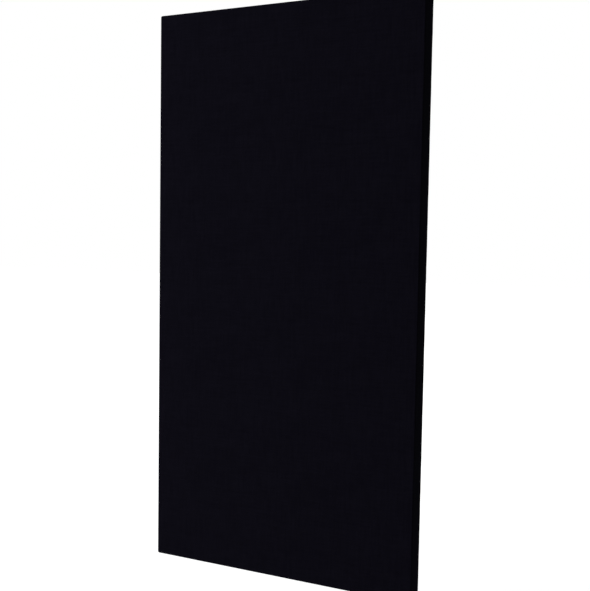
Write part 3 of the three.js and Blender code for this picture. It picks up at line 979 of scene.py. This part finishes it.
def makeStrap(side):
    low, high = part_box(f"{side}_hanger_strap")
    eye, hole = hanger["eyeOutside"], hanger["screwHole"]
    halfWidth, length = (high.x - low.x) / 2, high.z - low.z - eye
    middle = ((low.x + high.x) / 2, low.y + eye, high.z - eye)
    stations = stripStations(length, halfWidth)
    points = []
    for outer, inner in stations:
        down = max(0.0, -outer[1] - (length - halfWidth))
        half = math.sqrt(max(halfWidth ** 2 - down ** 2, hanger["leastHalf"] ** 2))
        points += stripSection(half, outer, inner)
    faces = [face[::-1] for face in sectionFaces(len(stations), len(points) // len(stations))]
    piece = meshPiece(f"{side}_folded_strap", np.array(points) + middle, faces, nickel)
    start, end = low.y - mm, high.y + mm
    drill, drillFaces = turned([(0, start), (hole, start), (hole, end), (0, end)], hanger["holeSides"])
    for index in (1, 2):
        screwLow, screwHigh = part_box(f"{side}_hanger_screw_{index}")
        spot = (screwLow + screwHigh) / 2
        cutAway(piece, meshPiece("drill", drill + (spot.x, 0, spot.z), drillFaces, nickel))
    reshape(piece, "WELD", {"merge_threshold": 0.004 * mm})
    piece.data.set_sharp_from_angle(angle=math.radians(35))
    dress(piece, "panel", "nickel_plate", f"{side}_hanger_strap")


def makeRing(side):
    joint = next(j for j in frame["joints"] if j["child"] == f"{side}_ring")
    pivot = Vector(joint["pos_m"])
    half, bend, leg, steps = hanger["ringHalf"], hanger["ringBend"], hanger["ringLeg"], hanger["bendSteps"]
    bar, radius = half - bend, hanger["wire"] / 2
    line = [(0, 0), (bar / 2, 0)]
    line += arc((bar, -bend), bend, quarterTurn, 0, steps)
    line += arc((0, -bend - leg), half, 0, -math.pi, hanger["ringSteps"])
    line += arc((-bar, -bend), bend, math.pi, quarterTurn, steps)
    line += [(-bar / 2, 0)]
    local, faces = swept(line, arc((0, 0), radius, 0, fullTurn, hanger["wireSides"])[:-1], True)
    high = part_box(f"{side}_hanger_ring")[1]
    rest = math.asin((high.y - pivot.y - radius) / (bend + leg + half))
    cosine, sine = math.cos(rest), math.sin(rest)
    points = local @ [(1, 0, 0), (0, -sine, cosine), (0, -cosine, -sine)] + tuple(pivot)
    piece = meshPiece(f"{side}_wire_ring", points, faces, nickel)
    dress(piece, f"{side}_ring", "nickel_plate", f"{side}_hanger_ring")


for side in ("left", "right"):
    makeStrap(side)
    makeRing(side)
print("hangers made")

# Screws: a threaded shank and a head with a cross recess
screw = {
    "crest": 1.75 * mm,
    "core": 1.2 * mm,
    "pitch": 1.6 * mm,
    "point": 4 * mm,
    "pointShare": 0.12,  # of the core, at the very end
    "runOut": 0.8 * mm,  # over which the thread fades out
    "head": 3.4 * mm,
    "headHeight": 2.2 * mm,
    "crown": 0.7 * mm,
    "crownSteps": 8,
    "panNeck": 1.2 * mm,  # plain shank below the head
    "panEdge": (0.2 * mm, 0.25 * mm),  # in, and up
    "sunkNeck": 2 * mm,
    "sunkEdge": (0.1 * mm, 0.05 * mm, 0.15 * mm),  # in, and down to the rim and to the cone
    "recess": (3.7 * mm, 1.0 * mm, 1.4 * mm),  # span, slot and depth
    "recessShares": (0.5, 0.62),  # of its span and slot, at the bottom
    "sides": 24,
    "threadSteps": 7,
}


# What is cut out of a head whose top is at this height
def recessCutter(top):
    span, slot, depth = screw["recess"]
    spanShare, slotShare = screw["recessShares"]
    cross = []
    for level, far, near in ((top + 0.3 * mm, span / 2, slot / 2),
                             (top - depth, span / 2 * spanShare, slot / 2 * slotShare)):
        for turn in range(4):
            cosine, sine = math.cos(turn * quarterTurn), math.sin(turn * quarterTurn)
            for x, z in ((far, near), (near, near), (near, far)):
                cross.append((x * cosine - z * sine, level, x * sine + z * cosine))
    return meshPiece("recess", cross, sectionFaces(2, len(cross) // 2), zinc)


# A screw along Y with its head's seat, or a sunk head's top, at y = 0
def screwMesh(name, length, panHead):
    radius, height, crown = screw["head"], screw["headHeight"], screw["crown"]
    crest, core, pitch = screw["crest"], screw["core"], screw["pitch"]
    threadTop = -screw["panNeck"] if panHead else -height - screw["sunkNeck"]
    rows = int((threadTop + length) / pitch * screw["threadSteps"])
    profile = [(0, -length)]
    profile += [(crest, (threadTop + length) * (row + 1) / rows - length) for row in range(rows)]
    if panHead:
        inward, up = screw["panEdge"]
        profile += [(core, threadTop / 3), (core, 0), (radius - inward, 0), (radius, up)]
        profile += [(radius * math.cos(a), height - crown + crown * math.sin(a))
                    for a in np.linspace(0, quarterTurn, screw["crownSteps"] + 1)[:-1]]
        profile += [(0, height)]
    else:
        inward, rim, cone = screw["sunkEdge"]
        profile += [(core, -height), (radius - inward, -cone), (radius, -rim), (radius - inward, 0), (0, 0)]

    def threadAt(reach, y, turn):
        if y > threadTop + 0.01 * mm or reach != crest:
            return reach
        fromTip = y + length
        tooth = max(0.0, 1 - 2 * abs(2 * ((fromTip / pitch - turn) % 1) - 1))
        fade = min(1.0, fromTip / screw["point"]) * min(1.0, (threadTop - y) / screw["runOut"])
        taper = min(1.0, screw["pointShare"] + (1 - screw["pointShare"]) * fromTip / screw["point"])
        return core * taper + (crest - core) * tooth * max(fade, 0)

    points, faces = turned(profile, screw["sides"], threadAt)
    piece = meshPiece(name, points, faces, zinc)
    cutAway(piece, recessCutter(height if panHead else 0))
    shape = piece.data
    bpy.data.objects.remove(piece)
    shape.set_sharp_from_angle(angle=math.radians(38))
    return shape


def makeScrews():
    names = sorted(name for name in frame["nodes"] if "_screw_" in name or name.endswith("_screw"))
    shapes = {}
    for name in names:
        low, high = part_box(name)
        size, middle = high - low, (low + high) / 2
        panHead = "hanger_screw" in name or "foot" in name
        length = max(size.x, size.y) - (screw["headHeight"] if panHead else 0)
        key = (round(length / mm, 1), panHead)
        if key not in shapes:
            shapes[key] = screwMesh(f"screw {key[0]}", length, panHead)
        piece = newObject(f"threaded_{name}", shapes[key])
        if size.x > size.y:  # through a stile into the end of a rail
            outward = 1 if middle.x > 0 else -1
            middle.x = high.x if outward > 0 else low.x
            turn = Matrix.Rotation(-outward * quarterTurn, 4, "Z")
            piece.matrix_world = Matrix.Translation(middle) @ turn
        else:
            middle.y = high.y - (screw["headHeight"] if panHead else 0)
            piece.matrix_world = Matrix.Translation(middle)
        dress(piece, "panel", "zinc_screw", name)
    print(f"screws: {len(names)} in {len(shapes)} lengths")


makeScrews()

# Rubber feet: moulded, tapered, with the screw's head let in
feet = {
    "taper": 1 * mm,
    "shoulder": (0.25 * mm, 0.3 * mm),  # out and down from where the face's edge starts
    "edge": 1.2 * mm,
    "edgeStart": 0.1,  # radians
    "lip": 0.35 * mm,
    "recess": 4.3 * mm,
    "floor": 3 * mm,
    "bore": 2.05 * mm,
    "sides": 64,
    "colour": (0.0125, 0.0125, 0.013),
    "dustColour": (0.03, 0.03, 0.03),
    "dust": 4 * mm,
    "grain": 0.5 * mm,
    "relief": 0.08 * mm,
}


def rubberFinish():
    rubber = newFinish("black rubber")
    place = rubber.place()
    grain = rubber.noise(place, feet["grain"], 4.0)
    dust = rubber.rise(rubber.noise(place, feet["dust"], 3.0), 0.5, 0.75)
    return rubber.surface({
        "Base Color": rubber.mix(dust * 0.5, feet["colour"], feet["dustColour"]),
        "Roughness": 0.62 + grain * 0.2 + dust * 0.1,
        "Specular IOR Level": 0.3,
        "Normal": rubber.bump(grain, feet["relief"], 0.6),
    })


def makeFoot(name, rubber):
    low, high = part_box(name)
    radius, height = (high.x - low.x) / 2, high.y - low.y
    edge, lip, recess, floor = feet["edge"], feet["lip"], feet["recess"], feet["floor"]
    face = radius - feet["taper"]
    outward, down = feet["shoulder"]
    profile = [(feet["bore"], 0), (radius - lip, 0)]
    profile += arc((radius - lip, lip), lip, -quarterTurn, 0, 3)[1:]
    profile += [(face + outward, height - edge - down)]
    profile += arc((face - edge, height - edge), edge, feet["edgeStart"], quarterTurn, 7)
    profile += arc((recess + lip, height - lip), lip, quarterTurn, 2 * quarterTurn, 4)
    profile += [(recess, floor + lip)]
    profile += arc((recess - lip, floor + lip), lip, 0, -quarterTurn, 3)[1:]
    profile += [(feet["bore"], floor)]
    points, faces = turned(profile, feet["sides"])
    middle = ((low.x + high.x) / 2, low.y, (low.z + high.z) / 2)
    piece = meshPiece(f"moulded_{name}", points + middle, faces, rubber, 50)
    dress(piece, "panel", "black_rubber", name)


rubber = rubberFinish()
for name in frame["nodes"]:
    if name.endswith("_foot"):
        makeFoot(name, rubber)
print("feet made")

# Timber and plywood keep their solids and get their grain
timber = {
    "early": (0.58, 0.38, 0.2),
    "late": (0.37, 0.21, 0.1),
    "knot": (0.12, 0.06, 0.03),
    "knots": 3.1,  # to a metre
    "ring": 4.5 * mm,
    "bend": 14 * mm,  # how far the rings wander
    "bendLength": 30 * mm,
    "fibre": 0.5 * mm,
    "relief": 0.12 * mm,
}
plywood = {
    "face": (0.5, 0.33, 0.18),
    "faceLate": (0.36, 0.22, 0.11),
    "core": (0.28, 0.17, 0.09),
    "plies": 5,
    "grain": 1.6 * mm,
    "grainStretch": (0.04, 0.5, 1),
    "relief": 0.1 * mm,
}


# Stretches are shares of each axis: the grain's own axis is drawn out
def timberFinish(name, shares):
    wood = newFinish(name)
    place = wood.stretch(wood.place(), shares)
    bend = wood.noise(place, timber["bendLength"], 3.0) * timber["bend"]
    x, y, z = wood.parts(place)
    ring = wood.sine((x + z + y * 0.6 + bend) * (fullTurn / timber["ring"]))
    fibre = wood.noise(place, timber["fibre"], 3.0)
    knotInputs = {"Vector": wood.place(), "Scale": timber["knots"]}
    knot = wood.node("ShaderNodeTexVoronoi", {"feature": "F1"}, knotInputs)
    late = wood.rise(ring * 0.5 + 0.5 + (fibre - 0.5) * 0.5, 0.45, 0.95)
    colour = wood.mix(late, timber["early"], timber["late"])
    return wood.surface({
        "Base Color": wood.mix((1 - wood.rise(knot, 0.02, 0.05)) * 0.8, colour, timber["knot"]),
        "Roughness": 0.62 + fibre * 0.25,
        "Specular IOR Level": 0.35,
        "Normal": wood.bump(fibre * 0.7 + late * 0.3, timber["relief"], 0.6),
    })


# Veneer on the faces, and plies in turn light and dark on the cut edges
def plywoodFinish():
    low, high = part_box("hanging_rail")
    board = newFinish("birch plywood")
    place = board.place()
    veneer = board.noise(board.stretch(place, plywood["grainStretch"]), plywood["grain"], 4.0, 0.6)
    face = board.mix(board.rise(veneer, 0.35, 0.75), plywood["face"], plywood["faceLate"])
    depth = board.parts(place)[1] - low.y
    ply = board.sine(depth * (math.pi * plywood["plies"] / (high.y - low.y)))
    cut = board.mix(board.rise(board.positive(ply), 0.15, 0.5), plywood["core"], plywood["face"])
    facing = board.parts(board.node("ShaderNodeNewGeometry", output="Normal"))[1]
    onFace = board.rise(board.positive(facing), 0.5, 0.6)
    return board.surface({
        "Base Color": board.mix(onFace, cut, face),
        "Roughness": 0.6 + veneer * 0.25,
        "Specular IOR Level": 0.35,
        "Normal": board.bump(veneer, plywood["relief"], 0.5),
    })


def finishWood():
    woods = {
        "_stile": timberFinish("pine stile", (1, 1, 0.03)),
        ("top_rail", "bottom_rail"): timberFinish("pine rail", (0.03, 1, 1)),
        ("_gusset", "hanging_rail", "lower_brace"): plywoodFinish(),
    }
    for name, node in frame["nodes"].items():
        for endings, wood in woods.items():
            if name.endswith(endings):
                for place in node.material_slots:
                    place.link = "OBJECT"
                    place.material = wood


finishWood()
print("timber finished")
